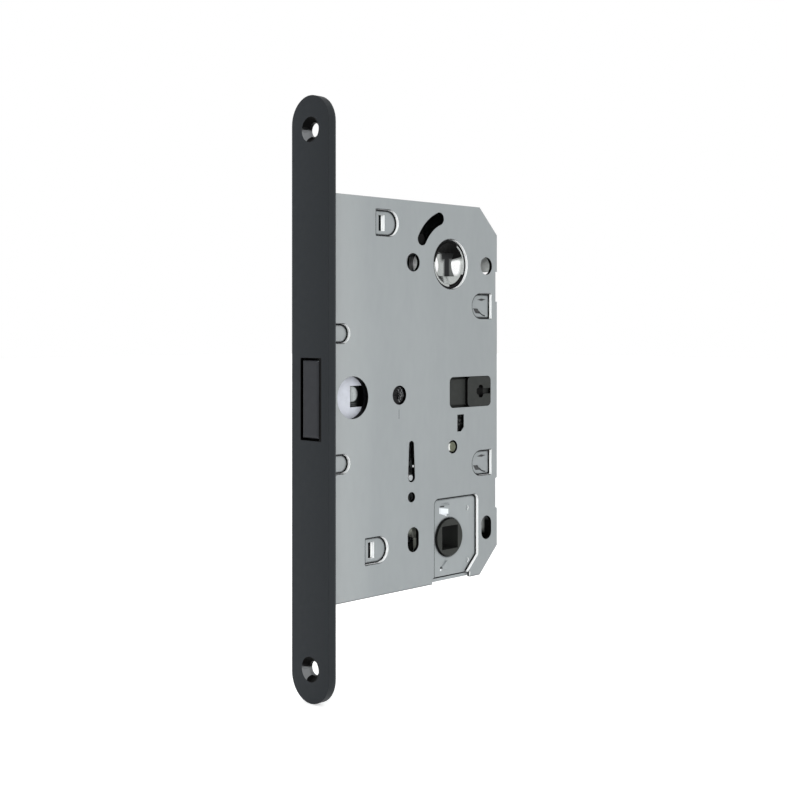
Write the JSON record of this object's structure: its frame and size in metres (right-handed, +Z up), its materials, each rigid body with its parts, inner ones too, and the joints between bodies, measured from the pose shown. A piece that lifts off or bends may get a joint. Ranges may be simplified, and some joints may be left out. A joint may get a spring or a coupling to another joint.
{
  "type": "mortice latch",
  "caption": "Flat mortice latch case with a long round-ended forend, a sprung sliding latch, a square handle follower, a sliding selector and a privacy follower that locks the latch.",
  "frame": {"origin": "centre of the forend's front face", "axes": "+X into the door from the forend's front face, +Y across the door away from the cover, +Z up, so the handle spindle is above the privacy spindle"},
  "size_m": [0.0849, 0.018, 0.196],
  "materials": {
    "dark_finish": "satin anthracite",
    "zinc_sheet": "satin zinc plate",
    "cast_zinc": "cast, smooth",
    "bright_metal": "polished",
    "magnet": "nickel plate",
    "steel": "zinc plate",
    "spring_steel": "drawn wire",
    "passivated_steel": "yellow passivated",
    "black_plastic": "moulded",
    "grey_plastic": "moulded"
  },
  "bodies": {
    "case": {"forend": "dark_finish", "upper_bracket": "zinc_sheet", "lower_bracket": "zinc_sheet", "case_tray": "zinc_sheet", "case_cover": "zinc_sheet", "privacy_plate": "zinc_sheet", "upper_tie": "zinc_sheet", "lower_tie": "zinc_sheet", "latch_guide": "black_plastic", "spring_rod": "steel", "latch_spring": "spring_steel", "front_bush": "black_plastic", "rear_bush": "black_plastic", "handle_spring": "spring_steel", "slide_guide": "black_plastic", "lever_pivot": "passivated_steel", "lever_spring": "spring_steel", "selector_bezel": "grey_plastic", "lock_spring": "spring_steel"},
    "latch": {"latch_cap": "dark_finish", "latch_body": "cast_zinc", "latch_magnet": "magnet", "latch_pins": "steel", "latch_tail": "steel"},
    "adjuster": {"adjuster": "black_plastic"},
    "handle": {"handle_follower": "bright_metal"},
    "lift": {"lift_slide": "steel"},
    "lever": {"transfer_lever": "steel", "lever_peg": "steel"},
    "selector": {"selector_button": "grey_plastic"},
    "privacy": {"privacy_follower": "grey_plastic"},
    "lock": {"lock_slide": "passivated_steel", "lock_peg": "steel"}
  },
  "joints": [
    {"name": "latch_slide", "type": "slide", "parent": "case", "child": "latch", "axis": [1, 0, 0], "range_m": [-0.0113, 0], "stiffness_N_per_m": 60, "springref_m": 0.008, "deforming": ["latch_spring"]},
    {"name": "handle_turn", "type": "hinge", "parent": "case", "child": "handle", "pos_m": [0.06, 0, 0.0454], "axis": [0, 1, 0], "range_deg": [0, 40], "stiffness_Nm_per_rad": 0.3, "springref_deg": -22.92, "deforming": ["handle_spring", "lever_spring"]},
    {"name": "selector_slide", "type": "slide", "parent": "case", "child": "selector", "axis": [1, 0, 0], "range_m": [-0.0092, 0]},
    {"name": "adjuster_turn", "type": "hinge", "parent": "case", "child": "adjuster", "pos_m": [0.0343, 0, 0.0003], "axis": [0, 1, 0], "range_deg": [-90, 90]},
    {"name": "privacy_turn", "type": "hinge", "parent": "case", "child": "privacy", "pos_m": [0.06, 0, -0.0507], "axis": [0, 1, 0], "range_deg": [0, 90.1], "deforming": ["lock_spring"]},
    {"name": "lift_slide_travel", "type": "slide", "parent": "case", "child": "lift", "axis": [0, 0, -1], "range_m": [0, 0.0079]},
    {"name": "lever_turn", "type": "hinge", "parent": "case", "child": "lever", "pos_m": [0.061, 0, -0.0189], "axis": [0, 1, 0], "range_deg": [0, 34.9]},
    {"name": "lock_travel", "type": "slide", "parent": "case", "child": "lock", "axis": [0, 0, 1], "range_m": [0, 0.009]}
  ],
  "couplings": [
    {"joint": "lift_slide_travel", "follows": "handle_turn", "m_per_rad": 0.011268},
    {"joint": "lever_turn", "follows": "handle_turn", "ratio": 0.8697},
    {"joint": "privacy_turn", "follows": "lock_travel", "rad_per_m": 174.53}
  ]
}
